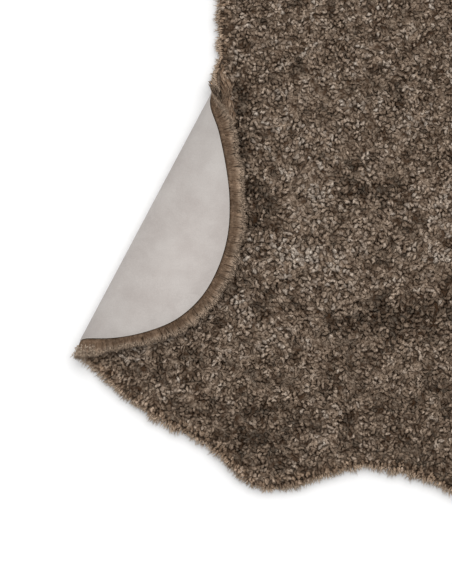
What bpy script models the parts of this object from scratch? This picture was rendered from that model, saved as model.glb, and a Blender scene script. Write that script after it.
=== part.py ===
"""A sheepskin rug lying wool side up, with its left hind leg folded over to show the bare side of the hide.

Two solids: the tanned hide, a thin sheet cut to the skin's natural outline and folded once, and the fleece that
grows on it, a lumpy slab with pointed locks round its rim. Metres, +Z up, +Y towards the neck. The rug lies on the
plane Z = 0 and the middle of its box is over the origin.
"""

import math
import random

import bmesh
import bpy
from mathutils import Vector, noise
from mathutils.geometry import delaunay_2d_cdt

MM = 0.001

# The hide and the wool on it, all measured from the middle of the hide's thickness.
HIDE_THICK = 1.8 * MM
WOOL_GAP = 0.5 * MM
WOOL_BASE = HIDE_THICK / 2 + WOOL_GAP
WOOL_FREE = 22.0 * MM
WOOL_PRESSED = 15.4 * MM
WOOL_IN_BEND = 13.2 * MM

# The fold. The hide's middle turns half round this radius, wool inside, and the ridge is the outermost line of it.
BEND_RADIUS = 16.8 * MM
RIDGE_TOP = (-265.0 * MM, -87.0 * MM)
RIDGE_END = (-395.0 * MM, -332.0 * MM)
FADE_START = -25.0 * MM
FADE_LENGTH = 57.0 * MM
SAG = 1.4 * MM
SAG_LENGTH = 70.0 * MM

# The rim. Each lock is a four-sided point that stands out from the edge of the hide.
LOCKS = 300
LOCK_ROOT_OUT = 6.0 * MM
LOCK_ROOT_SHARE = 0.5
LOCK_TIP_OUT = 11.5 * MM
LOCK_TIP_SPREAD = 1.8 * MM
LOCK_TIP_LEAN = 2.0 * MM
LOCK_TIP_HEIGHT = 6.0 * MM
FLAP_TIP_OUT = 17.0 * MM
CORNER_TIP_OUT = 19.0 * MM
CORNER_TIP_HEIGHT = 2.4 * MM
SHOULDER_OUT = 2.5 * MM
SHOULDER_SHARE = 0.82

# The lumps of the wool's surface.
LUMP_HEIGHT = 2.2 * MM
LUMP_LENGTH = 34.0 * MM
TUFT_HEIGHT = 1.1 * MM
PRESSED_LUMP_SHARE = 0.12
PRESS_MARGIN = 6.0 * MM
PRESS_FADE = 24.0 * MM

# How fine the two surfaces are.
HIDE_STEP = 44.0 * MM
HIDE_ROW_STEP = 26.0 * MM
HIDE_BEND_ROWS = 9
WOOL_STEP = 14.5 * MM
WOOL_ROW_STEP = 13.0 * MM
WOOL_BEND_ROWS = 6
FADE_ROW_STEP = 8.0 * MM
RIM_CLEAR = 4.5 * MM
SHARP_ANGLE = math.radians(50.0)

# The right half is the left half mirrored, with its legs a little shorter than they are on the left.
BODY_HALF_WIDTH = 250.0
RIGHT_REACH = 0.88
RIGHT_DROP = 3.0

# Where the middle of the laid-out rug's box is, in the frame of the table below.
BOX_MIDDLE = (20.5 * MM, 0.8 * MM)

# The left half of the hide's cut edge while the hide is flat, from the tail round to the neck.
# place, millimetres from the back line, millimetres from the middle of the back towards the neck
LEFT_EDGE = (
    ("tail", 0, -485),
    ("beside the tail", -24, -472),
    ("inner breech", -62, -458),
    ("breech", -112, -451),
    ("outer breech", -158, -462),
    ("inner hock", -200, -473),
    ("hock", -224, -467),
    ("outer hock", -247, -444),
    ("inner thigh", -276, -423),
    ("thigh", -322, -398),
    ("outer thigh", -366, -362),
    ("hind leg, under", -402, -326),
    ("hind leg, low", -426, -293),
    ("hind leg, lower tip", -441, -257),
    ("hind leg, tip", -446, -226),
    ("hind leg, upper tip", -439, -190),
    ("hind leg, high", -413, -149),
    ("hind leg, over", -376, -119),
    ("hind leg, root", -316, -91),
    ("groin", -276, -80),
    ("above the groin", -257, -66),
    ("lower flank", -249, -45),
    ("flank", -249, 0),
    ("belly", -248, 80),
    ("chest", -262, 160),
    ("armpit", -290, 213),
    ("foreleg, low", -342, 243),
    ("foreleg, tip", -380, 292),
    ("foreleg, high", -362, 346),
    ("shoulder", -300, 383),
    ("inner shoulder", -232, 410),
    ("side of the neck", -168, 446),
    ("corner of the neck", -118, 483),
    ("neck", 0, 472),
)


def clear_scene():
    """Takes away whatever the scene holds."""
    for obj in list(bpy.data.objects):
        bpy.data.objects.remove(obj, do_unlink=True)


def ease(share):
    """A share from 0 to 1 with soft ends."""
    share = min(1.0, max(0.0, share))
    return share * share * (3.0 - 2.0 * share)


def unit(x, y):
    """The same way at length 1."""
    length = math.hypot(x, y)
    return x / length, y / length


UP_FOLD = unit(RIDGE_TOP[0] - RIDGE_END[0], RIDGE_TOP[1] - RIDGE_END[1])
OFF_FOLD = (-UP_FOLD[1], UP_FOLD[0])
FOLD_LENGTH = math.dist(RIDGE_TOP, RIDGE_END)
FADE_FROM = FOLD_LENGTH + FADE_START
FADE_END = FADE_FROM + FADE_LENGTH
RIDGE_REACH = BEND_RADIUS + HIDE_THICK / 2
BEND_FOOT = (RIDGE_END[0] - OFF_FOLD[0] * RIDGE_REACH, RIDGE_END[1] - OFF_FOLD[1] * RIDGE_REACH)
HALF_TURN = math.pi * BEND_RADIUS


def fold_place(x, y):
    """How far along the fold, and how far past the line where the bend starts, a point of the flat hide is."""
    across_x, across_y = x - BEND_FOOT[0], y - BEND_FOOT[1]
    along = across_x * UP_FOLD[0] + across_y * UP_FOLD[1]
    past = across_x * OFF_FOLD[0] + across_y * OFF_FOLD[1]
    return along, past


def turn_at(along):
    """The whole angle of the bend there: half a turn, dying out above the upper end of the ridge."""
    return math.pi * (1.0 - ease((along - FADE_FROM) / FADE_LENGTH))


def laid(x, y, height):
    """Where a point goes that is over (x, y) on the flat hide, at a height above the hide's middle."""
    along, past = fold_place(x, y)
    turn = turn_at(along)
    over = ease((past - HALF_TURN / 2) / HALF_TURN) * turn / math.pi
    height += SAG * over * noise.noise(Vector((x, y, 3.0 * SAG_LENGTH)) / SAG_LENGTH)
    if past <= 0.0:
        return Vector((x - BOX_MIDDLE[0], y - BOX_MIDDLE[1], height + HIDE_THICK / 2))
    angle = min(past / BEND_RADIUS, turn)
    straight = past - BEND_RADIUS * angle
    out = (BEND_RADIUS - height) * math.sin(angle) + straight * math.cos(angle)
    rise = BEND_RADIUS - (BEND_RADIUS - height) * math.cos(angle) + straight * math.sin(angle)
    return Vector((
        BEND_FOOT[0] + UP_FOLD[0] * along + OFF_FOLD[0] * out - BOX_MIDDLE[0],
        BEND_FOOT[1] + UP_FOLD[1] * along + OFF_FOLD[1] * out - BOX_MIDDLE[1],
        rise + HIDE_THICK / 2,
    ))


def edge_knots():
    """The named places of the whole cut edge, clockwise from the tail."""
    left = [(x * MM, y * MM) for _, x, y in LEFT_EDGE]
    right = []
    for _, x, y in reversed(LEFT_EDGE[1:-1]):
        reach = -x
        if reach > BODY_HALF_WIDTH:
            reach = BODY_HALF_WIDTH + (reach - BODY_HALF_WIDTH) * RIGHT_REACH
        right.append((reach * MM, (y - RIGHT_DROP * math.sin(y / BODY_HALF_WIDTH)) * MM))
    return left + right


def between(p, q, at_p, at_q, at):
    """The point of the line through p and q that lies at a given place along it."""
    share = (at - at_p) / (at_q - at_p)
    return p[0] + (q[0] - p[0]) * share, p[1] + (q[1] - p[1]) * share


def smooth_through(knots, steps=20):
    """A closed centripetal Catmull-Rom curve through the knots."""
    count = len(knots)
    line = []
    for i in range(count):
        a, b, c, d = knots[i - 1], knots[i], knots[(i + 1) % count], knots[(i + 2) % count]
        at_b = math.sqrt(math.dist(a, b))
        at_c = at_b + math.sqrt(math.dist(b, c))
        at_d = at_c + math.sqrt(math.dist(c, d))
        for step in range(steps):
            at = at_b + (at_c - at_b) * step / steps
            ab = between(a, b, 0.0, at_b, at)
            bc = between(b, c, at_b, at_c, at)
            cd = between(c, d, at_c, at_d, at)
            line.append(between(between(ab, bc, 0.0, at_c, at), between(bc, cd, at_b, at_d, at), at_b, at_c, at))
    return line


def evenly(line, count):
    """A closed line again, with its points evenly apart, and the way out of the hide at each."""
    ends = line[1:] + line[:1]
    along = [0.0]
    for p, q in zip(line, ends):
        along.append(along[-1] + math.dist(p, q))
    points = []
    piece = 0
    for i in range(count):
        at = along[-1] * i / count
        while along[piece + 1] < at:
            piece += 1
        points.append(between(line[piece], ends[piece], along[piece], along[piece + 1], at))
    ways = []
    for i in range(count):
        before, after = points[i - 2], points[(i + 2) % count]
        step = unit(after[0] - before[0], after[1] - before[1])
        ways.append((-step[1], step[0]))
    return points, ways


def distance_in(point, polygon):
    """How far a point is inside a closed polygon, and less than 0 outside it."""
    x, y = point
    nearest, inside = math.inf, False
    for (ax, ay), (bx, by) in zip(polygon, polygon[1:] + polygon[:1]):
        dx, dy = bx - ax, by - ay
        share = min(1.0, max(0.0, ((x - ax) * dx + (y - ay) * dy) / max(dx * dx + dy * dy, 1e-18)))
        nearest = min(nearest, math.hypot(x - ax - share * dx, y - ay - share * dy))
        if (ay > y) != (by > y) and x < ax + (y - ay) / dy * dx:
            inside = not inside
    return nearest if inside else -nearest


def bend_rows(rim, rows, step):
    """Rows of points along the bend, closer together where it dies out, and kept clear of the rim."""
    lines = []
    for row in range(rows):
        past = HALF_TURN * row / (rows - 1)
        line = []
        along = -HALF_TURN
        while along < FADE_END:
            x = BEND_FOOT[0] + UP_FOLD[0] * along + OFF_FOLD[0] * past
            y = BEND_FOOT[1] + UP_FOLD[1] * along + OFF_FOLD[1] * past
            if distance_in((x, y), rim) > RIM_CLEAR:
                line.append((x, y))
            along += step if along < FADE_FROM - step else FADE_ROW_STEP
        lines.append(line)
    return lines


def triangles_in(rim, step, rows, row_step, seed):
    """Fills a rim with triangles about a step across. Returns the points, the rim's first, and the triangles."""
    rng = random.Random(seed)
    points = list(rim)
    ties = []
    strip = HALF_TURN / (rows - 1)
    for line in bend_rows(rim, rows, row_step):
        for i, point in enumerate(line):
            if i and math.dist(point, line[i - 1]) < 1.1 * row_step:
                ties.append((len(points) - 1, len(points)))
            points.append(point)
    low_x, high_x = min(p[0] for p in rim), max(p[0] for p in rim)
    low_y, high_y = min(p[1] for p in rim), max(p[1] for p in rim)
    lift = step * math.sqrt(3.0) / 2.0
    for row in range(int((high_y - low_y) / lift) + 1):
        for column in range(int((high_x - low_x) / step) + 1):
            x = low_x + (column + 0.5 * (row % 2)) * step + rng.uniform(-0.14, 0.14) * step
            y = low_y + row * lift + rng.uniform(-0.14, 0.14) * step
            along, past = fold_place(x, y)
            in_bend = -0.45 * step < past < HALF_TURN + 0.45 * step and along < FADE_END + strip
            if not in_bend and distance_in((x, y), rim) > 0.5 * step:
                points.append((x, y))
    count = len(rim)
    flat = [Vector(p) for p in points]
    corners, _, faces, came_from, _, _ = delaunay_2d_cdt(flat, ties, [list(range(count))[::-1]], 1, 1e-7)
    back = [origins[0] for origins in came_from]
    assert len(corners) == len(points), "the rows of the bend cross the rim"
    return points, [tuple(back[i] for i in face) for face in faces]


def finished(name, bm, material):
    """Makes a closed mesh into a named object with outward faces, smooth but for its sharp edges."""
    bmesh.ops.recalc_face_normals(bm, faces=bm.faces)
    for face in bm.faces:
        face.smooth = True
    mesh = bpy.data.meshes.new(name)
    bm.to_mesh(mesh)
    bm.free()
    mesh.set_sharp_from_angle(angle=SHARP_ANGLE)
    mesh.materials.append(material)
    obj = bpy.data.objects.new(name, mesh)
    bpy.context.scene.collection.objects.link(obj)
    return obj


def plain_material(name, colour, roughness):
    """A plain material with one colour."""
    material = bpy.data.materials.new(name)
    material.use_nodes = True
    shader = material.node_tree.nodes["Principled BSDF"]
    shader.inputs["Base Color"].default_value = (*colour, 1.0)
    shader.inputs["Roughness"].default_value = roughness
    shader.inputs["Metallic"].default_value = 0.0
    return material


def build_hide(rim):
    """The tanned hide: the flat cut, extruded to its thickness and folded over at the hind leg."""
    points, faces = triangles_in(rim, HIDE_STEP, HIDE_BEND_ROWS, HIDE_ROW_STEP, seed=3)
    bm = bmesh.new()
    under = [bm.verts.new((x, y, 0.0)) for x, y in points]
    for face in faces:
        bm.faces.new([under[i] for i in face])
    made = bmesh.ops.extrude_face_region(bm, geom=list(bm.faces), use_keep_orig=True)
    upper = [v for v in made["geom"] if isinstance(v, bmesh.types.BMVert)]
    for vert in under:
        vert.co = laid(vert.co.x, vert.co.y, -HIDE_THICK / 2)
    for vert in upper:
        vert.co = laid(vert.co.x, vert.co.y, HIDE_THICK / 2)
    return finished("hide", bm, plain_material("suede", (0.53, 0.49, 0.46), 0.85))


class Pile:
    """How high the wool stands over each place of the flat hide."""

    def __init__(self, edge, ways):
        flap = []
        for (x, y), (out_x, out_y) in zip(edge, ways):
            if fold_place(x, y)[1] > 0.0:
                spot = laid(x + out_x * FLAP_TIP_OUT, y + out_y * FLAP_TIP_OUT, 0.0)
                flap.append((spot.x + BOX_MIDDLE[0], spot.y + BOX_MIDDLE[1]))
        self.flap = flap

    def free_share(self, x, y):
        """0 where the flap presses the wool down or the wool is in the flap, 1 where it stands free."""
        along, past = fold_place(x, y)
        under_flap = distance_in((x, y), self.flap)
        free = ease((-under_flap - PRESS_MARGIN) / PRESS_FADE) if past < 0.0 else 0.0
        beyond = ease((along - FADE_END) / PRESS_FADE)
        beside = ease((-past - PRESS_MARGIN) / PRESS_FADE)
        return max(beyond, min(free, beside)) if past < 0.0 else beyond

    def height(self, x, y):
        """The height of the wool over the middle of the hide."""
        free = self.free_share(x, y)
        lump = noise.noise(Vector((x, y, 0.2)) / LUMP_LENGTH) * LUMP_HEIGHT
        tuft = noise.noise(Vector((x, y, 7.0)) / (LUMP_LENGTH / 2.3)) * TUFT_HEIGHT
        stand = WOOL_PRESSED + (WOOL_FREE - WOOL_PRESSED) * free
        along, past = fold_place(x, y)
        if 0.0 < past < HALF_TURN:
            drawn = math.sin(math.pi * past / HALF_TURN) * (1.0 - free)
            stand += (WOOL_IN_BEND - WOOL_PRESSED) * drawn
        return stand + (lump + tuft) * (PRESSED_LUMP_SHARE + (1.0 - PRESSED_LUMP_SHARE) * free)


def lock_tip(rng, x, y):
    """How far out, how far aside and how high the point of one lock is: longest at the corner of the fold."""
    along, past = fold_place(x, y)
    over = ease(past / HALF_TURN) * turn_at(along) / math.pi
    corner = math.sin(math.pi * min(1.0, max(0.0, past / HALF_TURN))) if along < FOLD_LENGTH / 2 else 0.0
    out = LOCK_TIP_OUT + (FLAP_TIP_OUT - LOCK_TIP_OUT) * over
    out += (CORNER_TIP_OUT - out) * corner + rng.uniform(-1.0, 1.0) * LOCK_TIP_SPREAD
    height = LOCK_TIP_HEIGHT + (CORNER_TIP_HEIGHT - LOCK_TIP_HEIGHT) * corner
    return out, LOCK_TIP_LEAN * rng.uniform(-1.0, 1.0), height * rng.uniform(0.7, 1.3)


def build_fleece(edge, ways):
    """The wool: a base on the hide, a ring of locks and a lumpy top, closed into one slab."""
    rng = random.Random(11)
    pile = Pile(edge, ways)
    hide_rim = edge[::2]
    shoulder = [(x + a * SHOULDER_OUT, y + b * SHOULDER_OUT) for (x, y), (a, b) in zip(edge, ways)][::2]
    bm = bmesh.new()

    base_points, base_faces = triangles_in(hide_rim, HIDE_STEP, HIDE_BEND_ROWS, HIDE_ROW_STEP, seed=3)
    base = [bm.verts.new(laid(x, y, WOOL_BASE)) for x, y in base_points]
    for face in base_faces:
        bm.faces.new([base[i] for i in face])

    top_points, top_faces = triangles_in(shoulder, WOOL_STEP, WOOL_BEND_ROWS, WOOL_ROW_STEP, seed=5)
    top = []
    for i, (x, y) in enumerate(top_points):
        share = SHOULDER_SHARE if i < LOCKS else 1.0
        top.append(bm.verts.new(laid(x, y, pile.height(x, y) * share)))
    for face in top_faces:
        bm.faces.new([top[i] for i in face])

    ring = []
    for i, ((x, y), (a, b)) in enumerate(zip(edge, ways)):
        if i % 2 == 0:
            out, aside, height = LOCK_ROOT_OUT, 0.0, pile.height(x, y) * LOCK_ROOT_SHARE
        else:
            out, aside, height = lock_tip(rng, x, y)
        ring.append(bm.verts.new(laid(x + a * out + b * aside, y + b * out - a * aside, height)))
    for i in range(LOCKS):
        root, tip, after, j = ring[2 * i], ring[2 * i + 1], ring[(2 * i + 2) % (2 * LOCKS)], (i + 1) % LOCKS
        for near, far in ((base[i], base[j]), (top[i], top[j])):
            bm.faces.new((near, root, tip))
            bm.faces.new((near, tip, far))
            bm.faces.new((far, tip, after))
    return finished("fleece", bm, plain_material("wool", (0.127, 0.095, 0.071), 0.95))


def main():
    """Builds the hide and the fleece on it."""
    clear_scene()
    edge, ways = evenly(smooth_through(edge_knots()), 2 * LOCKS)
    build_hide(edge[::2])
    build_fleece(edge, ways)


main()
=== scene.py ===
"""Dresses the sheepskin rug: a suede hide with one hind leg folded over, and its clipped curls.

Both are made flat, in metres from the middle of the back, and then bent over the fold.
"""

from __future__ import annotations

import logging
import math
import random
from dataclasses import dataclass, field
from enum import Enum

import bpy
import numpy as np
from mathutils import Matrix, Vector, noise
from mathutils.geometry import delaunay_2d_cdt

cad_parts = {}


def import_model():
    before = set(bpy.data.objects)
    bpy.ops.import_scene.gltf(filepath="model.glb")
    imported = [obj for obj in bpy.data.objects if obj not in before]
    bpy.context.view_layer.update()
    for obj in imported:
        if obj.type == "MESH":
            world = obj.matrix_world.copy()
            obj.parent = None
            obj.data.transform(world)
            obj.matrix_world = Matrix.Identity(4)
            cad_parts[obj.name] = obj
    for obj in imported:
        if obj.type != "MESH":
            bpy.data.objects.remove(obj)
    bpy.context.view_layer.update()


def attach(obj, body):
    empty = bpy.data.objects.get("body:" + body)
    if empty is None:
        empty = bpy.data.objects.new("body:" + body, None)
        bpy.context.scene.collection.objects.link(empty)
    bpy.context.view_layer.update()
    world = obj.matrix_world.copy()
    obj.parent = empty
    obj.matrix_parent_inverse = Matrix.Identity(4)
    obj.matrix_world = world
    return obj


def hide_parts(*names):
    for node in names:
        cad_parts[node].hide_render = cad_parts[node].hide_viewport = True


MM = 0.001
Floats = np.ndarray
Whole = np.ndarray

LOG = logging.getLogger("sheepskin")

# The left half of the hide's cut edge while the hide is flat, from the tail round to the neck.
# place, millimetres from the back line, millimetres from the middle of the back towards the neck
LEFT_EDGE: tuple[tuple[str, float, float], ...] = (
    ("tail", 0, -485),
    ("beside the tail", -24, -472),
    ("inner breech", -62, -458),
    ("breech", -112, -451),
    ("outer breech", -158, -462),
    ("inner hock", -200, -473),
    ("hock", -224, -467),
    ("outer hock", -247, -444),
    ("inner thigh", -276, -423),
    ("thigh", -322, -398),
    ("outer thigh", -366, -362),
    ("hind leg, under", -402, -326),
    ("hind leg, low", -426, -293),
    ("hind leg, lower tip", -441, -257),
    ("hind leg, tip", -446, -226),
    ("hind leg, upper tip", -439, -190),
    ("hind leg, high", -413, -149),
    ("hind leg, over", -376, -119),
    ("hind leg, root", -316, -91),
    ("groin", -276, -80),
    ("above the groin", -257, -66),
    ("lower flank", -249, -45),
    ("flank", -249, 0),
    ("belly", -248, 80),
    ("chest", -262, 160),
    ("armpit", -290, 213),
    ("foreleg, low", -342, 243),
    ("foreleg, tip", -380, 292),
    ("foreleg, high", -362, 346),
    ("shoulder", -300, 383),
    ("inner shoulder", -232, 410),
    ("side of the neck", -168, 446),
    ("corner of the neck", -118, 483),
    ("neck", 0, 472),
)

# Places of the flat hide where the wool's colour is painted lighter or darker: painted light where the wool
# is lifted or combed, painted shade where it is pressed, parted or hollow, painted shadow beside and under
# the folded leg, and broad darker areas on the rump and tail.
# place, x and y in millimetres, half its length and half its width, the turn of its length, how much lighter
PAINTED_LIGHT_AND_SHADE: tuple[tuple[str, float, float, float, float, float, float], ...] = (
    ("shade of the rump", -190, -425, 230, 85, 0, -0.16),
    ("shade of the tail", -34, -463, 24, 14, -20, -0.30),
    ("pressed bar on the loin", -76, -307, 52, 19, 3, -0.80),
    ("lifted mound by the flap", -165, -249, 42, 26, 8, 0.36),
    ("crown of the mound", -178, -252, 14, 12, 0, 0.52),
    ("lifted tuft over the mound", -153, -182, 14, 9, 0, 0.60),
    ("lifted wool on the thigh", -182, -145, 30, 34, 0, 0.28),
    ("lifted wool on the upper thigh", -190, -87, 18, 22, 0, 0.26),
    ("lifted column on the back", -42, -232, 16, 46, 0, 0.28),
    ("shade beside the flap", -213, -198, 15, 34, 0, -0.52),
    ("shade along the flap", -234, -134, 48, 9, -79, -0.46),
    ("shade under the flap's edge", -218, -300, 11, 30, -30, -0.24),
    ("lifted wool below the flap's bow", -248, -289, 14, 12, 0, 0.34),
    ("lifted wool along the flap's foot", -326, -338, 42, 9, 15, 0.46),
    ("hollow on the thigh", -129, -181, 10, 9, 0, -0.50),
    ("hollow over it", -119, -158, 8, 9, 0, -0.44),
    ("hollow towards the back", -90, -184, 17, 11, 0, -0.46),
    ("combed streak on the back", -53, -102, 38, 9, 29, 0.36),
    ("lifted wool below the flap", -204, -320, 14, 12, 0, 0.34),
    ("lifted wool on the hock", -259, -370, 15, 13, 0, 0.30),
    ("streak on the breech", -149, -428, 18, 6, 0, 0.44),
    ("shade above the breech", -226, -429, 30, 10, -4, -0.40),
    ("parting near the tail", -66, -425, 10, 17, 0, -0.34),
    ("hollow above the breech", -204, -400, 12, 10, 0, -0.24),
    ("shade on the leg", -334, -362, 13, 14, 0, -0.36),
    ("hollow by the tail", -27, -402, 8, 8, 0, -0.46),
    ("lifted wool on the flank", -124, -62, 14, 28, 0, 0.34),
    ("lifted wool on the leg", -280, -394, 26, 9, -30, 0.26),
    ("parting by the hock", -225, -403, 34, 3, 67, -0.42),
    ("parting on the flank", -70, -71, 15, 3, 22, -0.60),
    ("parting on the thigh", -134, -117, 13, 3, 14, -0.50),
)

# How much less wool hangs past the folded leg's cut edge in some places than in others.
# millimetres along the ridge from its lower end, how many millimetres shorter the wool is
BAND_SHORT: tuple[tuple[float, float], ...] = (
    (0, 2.0),
    (12, 3.0),
    (25, 7.0),
    (40, 5.0),
    (57, 4.6),
    (74, 3.7),
    (93, 3.0),
    (112, 3.6),
    (132, 1.0),
    (154, 3.8),
    (173, 1.5),
    (195, 3.6),
    (216, 2.0),
    (237, 2.6),
    (256, 0.4),
    (276, -0.6),
)

# Where the combed strip above the fold ends towards the back.
# y of the flat hide and x of the strip's end, in millimetres
COMBED_TO: tuple[tuple[float, float], ...] = (
    (-118, -246),
    (-110, -239),
    (-97, -241),
    (-85, -244),
    (-70, -247),
    (-56, -252),
    (-36, -258),
    (-18, -275),
)


class Slot(Enum):
    """The record's material slots."""

    SUEDE = "suede"
    WOOL = "wool"


def ease(share: Floats) -> Floats:
    """Shares from 0 to 1 with soft ends."""
    held = np.clip(share, 0.0, 1.0)
    return held * held * (3.0 - 2.0 * held)


def unit(rows: Floats) -> Floats:
    """Each row at length 1."""
    return rows / np.maximum(np.linalg.norm(rows, axis=-1, keepdims=True), 1e-12)


def ripple(places: Floats, length: float, seed: float) -> Floats:
    """Smooth noise over places of the flat hide.

    Args:
        places: rows of x and y, in metres.
        length: how far apart its hills are, in metres.
        seed: another number gives another pattern.

    Returns:
        One value for each place, mostly from -0.6 to 0.6.
    """
    spots = places[:, :2] / length
    return np.array([noise.noise(Vector((x, y, seed))) for x, y in spots.tolist()])


def depth_inside(places: Floats, loop: Floats) -> Floats:
    """How far each place is inside a closed loop, and below 0 outside it.

    Args:
        places: rows of x and y.
        loop: the loop's corners in order, rows of x and y.

    Returns:
        One distance for each place, in metres.
    """
    starts, ends = loop, np.roll(loop, -1, axis=0)
    runs = ends - starts
    squares = np.maximum((runs**2).sum(axis=1), 1e-18)
    found = []
    for part in np.array_split(places[:, :2], max(1, len(places) // 2000)):
        gaps = part[:, None, :] - starts[None, :, :]
        share = np.clip((gaps * runs).sum(axis=2) / squares, 0.0, 1.0)
        nearest = np.sqrt(((gaps - share[..., None] * runs) ** 2).sum(axis=2)).min(axis=1)
        crosses = (starts[None, :, 1] > part[:, None, 1]) != (ends[None, :, 1] > part[:, None, 1])
        steep = np.where(np.abs(runs[:, 1]) < 1e-15, 1e-15, runs[:, 1])
        at_x = starts[None, :, 0] + gaps[..., 1] / steep * runs[:, 0]
        inside = (crosses & (part[:, None, 0] < at_x)).sum(axis=1) % 2 == 1
        found.append(np.where(inside, nearest, -nearest))
    return np.concatenate(found)


def ring_length(loop: Floats) -> float:
    """How long a closed loop is."""
    return float(np.linalg.norm(np.diff(np.vstack((loop, loop[:1])), axis=0), axis=1).sum())


def strip(low: int, high: int, count: int) -> Whole:
    """The triangles between two closed lines of the same number of places.

    Args:
        low: the number of the first place of the lower line.
        high: the number of the first place of the upper line.
        count: how many places each line has.

    Returns:
        Rows of three place numbers.
    """
    here = np.arange(count)
    after = (here + 1) % count
    first = np.column_stack((low + here, high + here, low + after))
    second = np.column_stack((low + after, high + here, high + after))
    return np.vstack((first, second))


def edge_ways(ways: Floats) -> tuple[Floats, Floats, Floats]:
    """The three ways that locks at the edge are laid along.

    Args:
        ways: the way out of the hide at each lock, rows of x and y.

    Returns:
        The ways out of the hide, along its edge and up, rows of x, y and z.
    """
    count = len(ways)
    outward = np.column_stack((ways, np.zeros(count)))
    along_edge = np.column_stack((ways[:, 1], -ways[:, 0], np.zeros(count)))
    upright = np.tile(np.array((0.0, 0.0, 1.0)), (count, 1))
    return outward, along_edge, upright


def paths_from(origin: Floats, *moves: tuple[Floats, Floats]) -> Floats:
    """The middle lines of locks.

    Args:
        origin: where each lock is measured from, rows of x, y and height.
        moves: ways, and how far each place of a lock is from its origin along them.

    Returns:
        An array of locks, places and x, y and height.
    """
    paths = origin[:, None]
    for way, far in moves:
        paths = paths + way[:, None] * far[..., None]
    return paths


def make_piece(name: str, places: Floats, faces: Whole, tint: Floats | None = None) -> bpy.types.Object:
    """Makes one smooth mesh object out of arrays.

    Args:
        name: the piece's name.
        places: rows of x, y and z, in metres.
        faces: rows of three place numbers.
        tint: a colour for each place, kept as the colour attribute named tint.

    Returns:
        The object, linked to the scene.
    """
    mesh = bpy.data.meshes.new(name)
    mesh.vertices.add(len(places))
    mesh.vertices.foreach_set("co", np.ascontiguousarray(places, dtype=np.float32).ravel())
    mesh.loops.add(3 * len(faces))
    mesh.loops.foreach_set("vertex_index", np.ascontiguousarray(faces, dtype=np.int32).ravel())
    mesh.polygons.add(len(faces))
    mesh.polygons.foreach_set("loop_start", np.arange(0, 3 * len(faces), 3, dtype=np.int32))
    mesh.polygons.foreach_set("use_smooth", np.ones(len(faces), dtype=bool))
    mesh.update(calc_edges=True)
    if tint is not None:
        layer = mesh.color_attributes.new("tint", "FLOAT_COLOR", "POINT")
        filled = np.ones((len(places), 4), dtype=np.float32)
        filled[:, :3] = tint
        layer.data.foreach_set("color", filled.ravel())
    piece = bpy.data.objects.new(name, mesh)
    bpy.context.scene.collection.objects.link(piece)
    return piece


class Nodes:
    """The nodes of one material, added and joined by short calls."""

    def __init__(self, name: str, values: dict[str, float]) -> None:
        """Starts the material.

        Args:
            name: the material's name.
            values: the settings of its shader.
        """
        self.material = bpy.data.materials.new(name)
        self.material.use_nodes = True
        self.tree = self.material.node_tree
        self.shader = self.tree.nodes["Principled BSDF"]
        self.give(self.shader, values)

    def give(self, node: bpy.types.Node, values: dict[str, float]) -> None:
        """Gives a node's inputs their values."""
        for name, value in values.items():
            node.inputs[name].default_value = value

    def add(self, kind: str, values: dict[str, float] | None = None) -> bpy.types.Node:
        """Adds a node of one kind and gives its inputs their values."""
        node = self.tree.nodes.new(f"ShaderNode{kind}")
        self.give(node, values or {})
        return node

    def join(self, source: bpy.types.Node, output: str, target: bpy.types.Node, entry: str | int) -> None:
        """Links an output of one node to an input of another."""
        self.tree.links.new(source.outputs[output], target.inputs[entry])

    def spread(self, low: float, high: float, to_low: float, to_high: float) -> bpy.types.Node:
        """Adds a node that spreads values between two limits over two new limits."""
        return self.add("MapRange", {"From Min": low, "From Max": high, "To Min": to_low, "To Max": to_high})

    def vector(self, operation: str) -> bpy.types.Node:
        """Adds a node for sums with colours or places."""
        node = self.add("VectorMath")
        node.operation = operation
        return node

    def ramp(self, *stops: tuple[float, tuple[float, ...]]) -> bpy.types.Node:
        """Adds a ramp between two colours, each with the value that it stands at."""
        node = self.add("ValToRGB")
        for stop, (position, colour) in zip(node.color_ramp.elements, stops):
            stop.position = position
            stop.color = (*colour, 1.0)
        return node

    def tint(self) -> bpy.types.Node:
        """Adds the colour that each place of a piece keeps for itself."""
        node = self.add("VertexColor")
        node.layer_name = "tint"
        return node

    def bump(
        self,
        source: bpy.types.Node,
        output: str,
        strength: float,
        distance: float,
        under: bpy.types.Node | None = None,
    ) -> bpy.types.Node:
        """Adds relief.

        Args:
            source: the node that the relief is made from.
            output: which of its outputs.
            strength: how much of the relief is used.
            distance: how high it stands, in metres.
            under: coarser relief that this one lies on.

        Returns:
            The relief's node.
        """
        node = self.add("Bump", {"Strength": strength, "Distance": distance})
        self.join(source, output, node, "Height")
        if under is not None:
            self.join(under, "Normal", node, "Normal")
        return node


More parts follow.
